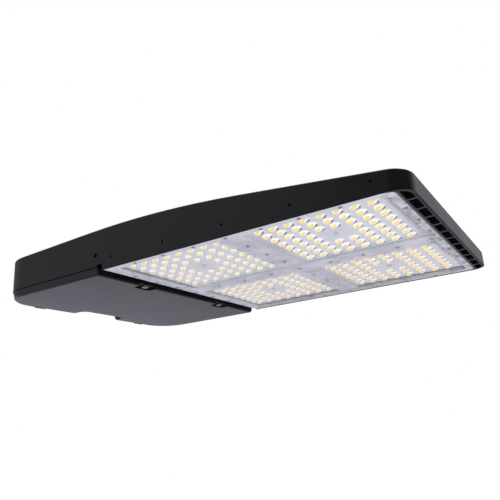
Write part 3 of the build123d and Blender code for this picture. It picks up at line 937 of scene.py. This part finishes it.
def build_emitters():
    mounds = bmesh.new()
    patches = bmesh.new()
    sickles = bmesh.new()
    places = cell_places(0.0, False)
    for centre in module_centres():
        halves, slide, shift, grow = module_look(centre)
        here = [place for place in places if inside_square(place, centre, module_half)]
        points = [(x + slide[0], y + slide[1], z) for x, y, z in here]
        mound = mound_mesh(halves)
        mounds.from_mesh(repeated_mesh("mounds", mound, points, reflector_white))
        patch = phosphor_mesh(centre, halves, shift, grow)
        patches.from_mesh(repeated_mesh("patches", patch, points, phosphor))
        # Painted shade: dark sickles beside the mounds of the front modules.
        if centre[0] > grid_x:
            sickle = painted_shade_sickle_mesh(halves)
            sickles.from_mesh(repeated_mesh("sickles", sickle, points, painted_shade_grey))
    for face in mounds.faces:
        face.smooth = True
    reflectors = mesh_from(mounds, "led_reflectors")
    add_piece("led_reflectors", reflectors, [reflector_white], "housing")
    crescents = mesh_from(sickles, "reflector_crescents")
    add_piece("reflector_crescents", crescents, [painted_shade_grey], "housing")
    yellow = mesh_from(patches, "led_phosphor")
    piece = add_piece("led_phosphor", yellow, [phosphor], "housing")
    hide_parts("led_chips_rear_near", "led_chips_rear_far",
                "led_chips_front_near", "led_chips_front_far")


def revolved(profile, sides, name):
    """A turned solid about Z from (radius, z) points, closed at both ends."""
    levels = []
    for radius, z in profile:
        levels.append([
            (radius * math.cos(angle), radius * math.sin(angle), z) for angle in ring_angles(sides)
        ])
    return closed_stack(name, levels)


def cut_slot(mesh, width, length, depth, low_z, name):
    """The mesh with a straight slot cut into its lower end."""
    bar = bmesh.new()
    bmesh.ops.create_cube(bar, size=1.0)
    bmesh.ops.scale(bar, vec=(length, width, 2 * depth), verts=bar.verts)
    bmesh.ops.translate(bar, vec=(0.0, 0.0, low_z), verts=bar.verts)
    cutter = add_object(name + "_cutter", mesh_from(bar, name + "_cutter"))
    blank = add_object(name + "_blank", mesh)
    cut = blank.modifiers.new("slot", "BOOLEAN")
    cut.operation = "DIFFERENCE"
    cut.solver = "EXACT"
    cut.object = cutter
    depsgraph = bpy.context.evaluated_depsgraph_get()
    result = bpy.data.meshes.new_from_object(blank.evaluated_get(depsgraph))
    bpy.data.objects.remove(blank)
    bpy.data.objects.remove(cutter)
    return result


def lens_screw_places():
    lip = []
    band = []
    side = lens_half_width - lens_screw_inset
    for step in range(-lens_screws_each_way, lens_screws_each_way + 1):
        offset = step * lens_screw_pitch
        lip.append((lens_rear_x + lens_screw_inset, offset, lens_lip_z))
        lip.append((lens_front_x - lens_screw_inset, offset, lens_lip_z))
        lip.append((grid_x + offset, side, lens_lip_z))
        lip.append((grid_x + offset, -side, lens_lip_z))
        band.append((grid_x + offset, 0.0, lens_face_z))
        if step:
            band.append((grid_x, offset, lens_face_z))
    return lip, band


def build_lens_screws():
    lip, band = lens_screw_places()
    lifted = [(x, y, z - band_boss_rise) for x, y, z in band]
    profile = [(lens_screw_radius * out, -lens_screw_rise * up) for out, up in lens_screw_profile]
    blank = revolved(profile, lens_screw_sides, "lens_screw_head")
    slot_length = lens_screw_radius * lens_screw_slot_length
    slot_depth = lens_screw_rise * lens_screw_slot_depth
    head = cut_slot(
        blank, lens_screw_slot, slot_length, slot_depth, -lens_screw_rise, "lens_screw")
    heads = repeated_mesh("lens_screws", head, lip + lifted, steel)
    add_piece("lens_screws", heads, [steel], "housing")
    profile = [(band_boss_radius * out, -band_boss_rise * up) for out, up in band_boss_profile]
    boss = revolved(profile, band_boss_sides, "band_boss")
    bosses = repeated_mesh("band_bosses", boss, band, frosted_lens)
    add_piece("band_bosses", bosses, [frosted_lens], "housing")


def captive_screw_mesh():
    low, high = captive_head_z
    profile = [
        (captive_head_radius - captive_head_bevel, low),
        (captive_head_radius, low + captive_head_bevel),
        (captive_head_radius, high),
        (captive_shank_radius, high),
        (captive_core_radius, high + captive_thread_pitch),
        (captive_core_radius, captive_thread_start_z),
    ]
    turn = captive_thread_start_z
    while turn + captive_plain_tip * captive_thread_pitch < captive_tip_z:
        profile.append((captive_shank_radius, turn + captive_thread_pitch / 2))
        profile.append((captive_core_radius, turn + captive_thread_pitch))
        turn += captive_thread_pitch
    profile.append((captive_core_radius * captive_tip_share, captive_tip_z))
    blank = revolved(profile, captive_sides, "captive_screw")
    slot_length = captive_head_radius * captive_slot_length
    return cut_slot(
        blank, captive_slot_width, slot_length, captive_slot_depth, low, "captive_screw")


def build_captive_screws():
    for side, name in ((-1, "captive_screw_near"), (1, "captive_screw_far")):
        mesh = captive_screw_mesh()
        mesh.transform(Matrix.Translation((captive_x, side * captive_y, 0.0)))
        piece = add_piece("slotted_" + name, mesh, [captive_steel], name)
        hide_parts(name)


# Stage: a white floor below the light, a pale studio and two soft lamps.
floor_z = -0.6
floor_side = 16.0
floor_grey = (0.8, 0.8, 0.8)
floor_roughness = 0.9
light_middle = Vector((0.26, 0.0, 0.0))
studio_tint = (0.93, 0.94, 1.0)

# The studio's plain level, and its shades in reflections along one direction.
studio_level = 0.85
studio_direction = (-0.894, 0.447, 0.0)
studio_shades = [(0.0, 0.0), (0.42, 0.0), (0.47, 0.5), (0.75, 0.38), (1.0, 0.3)]
overhead_start, overhead_full = 0.52, 0.85
overhead_level = 0.85
far_side_start, far_side_full = 0.25, 0.8
far_side_level = 0.41

# The floor's strength in reflections, brighter where the driver cover mirrors it than elsewhere.
floor_shine = (0.97, 0.42)
floor_shine_x = (-1.45, -1.05)
floor_shine_tint = (0.92, 0.925, 1.08)

# Soft lamps: place, side, power, and whether reflections show the lamp.
front_softbox = ((2.0, 2.4, 0.9), 2.0, 3.0, True)
under_softbox = ((1.1, -0.2, -0.55), 1.0, 9.0, False)


def build_floor():
    half = floor_side / 2
    mesh = bpy.data.meshes.new("studio_floor")
    corners = [(half * x, half * y, floor_z) for x, y in square_corners]
    mesh.from_pydata(corners, [], [(0, 1, 2, 3)])
    floor = add_object("studio_floor", mesh)
    material, shader = new_finish("studio_floor", floor_grey, floor_roughness)
    nodes = material.node_tree.nodes
    links = material.node_tree.links
    shine = soft_step(material, axes(material)[0], *floor_shine_x, *floor_shine)
    path = nodes.new("ShaderNodeLightPath")
    shown = shader.outputs[0]
    for ray, strength, tint in (
        ("Is Glossy Ray", shine, floor_shine_tint),
        ("Is Transmission Ray", 1.0, studio_tint),
        ("Is Camera Ray", 1.0, white),
    ):
        glow = nodes.new("ShaderNodeEmission")
        glow.inputs["Color"].default_value = (*tint, 1.0)
        if isinstance(strength, float):
            glow.inputs["Strength"].default_value = strength
        else:
            links.new(strength, glow.inputs["Strength"])
        shown = mix_shaders(material, path.outputs[ray], shown, glow.outputs[0])
    links.new(shown, nodes["Material Output"].inputs["Surface"])
    mesh.materials.append(material)


def studio_colour(level):
    return (*(level * tint for tint in studio_tint), 1.0)


def backdrop(world, colour):
    sheet = world.node_tree.nodes.new("ShaderNodeBackground")
    sheet.inputs["Color"].default_value = colour
    return sheet.outputs[0]


def graded_backdrop(world):
    """The studio's shades along one direction."""
    nodes = world.node_tree.nodes
    links = world.node_tree.links
    place = nodes.new("ShaderNodeTexCoord")
    towards = nodes.new("ShaderNodeVectorMath")
    towards.operation = "DOT_PRODUCT"
    towards.inputs[1].default_value = studio_direction
    links.new(place.outputs["Generated"], towards.inputs[0])
    side = nodes.new("ShaderNodeMapRange")
    side.inputs["From Min"].default_value = -1.0
    links.new(towards.outputs["Value"], side.inputs["Value"])
    ramp = nodes.new("ShaderNodeValToRGB")
    links.new(side.outputs["Result"], ramp.inputs["Fac"])
    steps = ramp.color_ramp.elements
    steps[0].position, steps[1].position = studio_shades[0][0], studio_shades[-1][0]
    for position, _ in studio_shades[1:-1]:
        steps.new(position)
    for step, (_, shade) in zip(steps, studio_shades):
        step.color = studio_colour(shade)
    graded = nodes.new("ShaderNodeBackground")
    links.new(ramp.outputs["Color"], graded.inputs["Color"])
    return graded.outputs[0]


def build_world():
    world = bpy.data.worlds.new("studio")
    bpy.context.scene.world = world
    world.use_nodes = True
    nodes = world.node_tree.nodes
    _, y, z = axes(world, "Generated")
    beyond = soft_step(world, y, far_side_start, far_side_full)
    far_side = backdrop(world, studio_colour(far_side_level))
    level = mix_shaders(world, beyond, graded_backdrop(world), far_side)
    high = soft_step(world, z, overhead_start, overhead_full)
    overhead = backdrop(world, studio_colour(overhead_level))
    mirrored = mix_shaders(world, high, level, overhead)
    studio = nodes["Background"]
    studio.inputs["Color"].default_value = studio_colour(studio_level)
    path = nodes.new("ShaderNodeLightPath")
    lit = mix_shaders(world, path.outputs["Is Glossy Ray"], studio.outputs[0], mirrored)
    seen = largest(world, [path.outputs["Is Camera Ray"], path.outputs["Is Transmission Ray"]])
    shown = mix_shaders(world, seen, lit, backdrop(world, (*white, 1.0)))
    world.node_tree.links.new(shown, nodes["World Output"].inputs["Surface"])


def add_softbox(name, place, side, power, mirrored):
    lamp = bpy.data.lights.new(name, "AREA")
    lamp.shape = "SQUARE"
    lamp.size = side
    lamp.energy = power
    holder = add_object(name, lamp)
    holder.location = place
    aim = light_middle - Vector(place)
    holder.rotation_euler = aim.to_track_quat("-Z", "Y").to_euler()
    holder.visible_camera = False
    holder.visible_glossy = mirrored


def build_camera():
    eye = bpy.data.cameras.new("photo_camera")
    eye.lens = camera_lens
    eye.sensor_width = camera_sensor
    eye.shift_x = camera_shift_x
    eye.clip_start = camera_clip_start
    holder = add_object("photo_camera", eye)
    holder.location = camera_place
    holder.rotation_euler = [math.radians(turn) for turn in camera_turn]
    bpy.context.scene.camera = holder


dress_cad_nodes()
build_lens_plate()
build_reflector_film()
build_emitters()
build_lens_screws()
build_captive_screws()
build_floor()
build_world()
add_softbox("front_softbox", *front_softbox)
add_softbox("under_softbox", *under_softbox)
build_camera()
bpy.context.scene.view_settings.view_transform = "Standard"
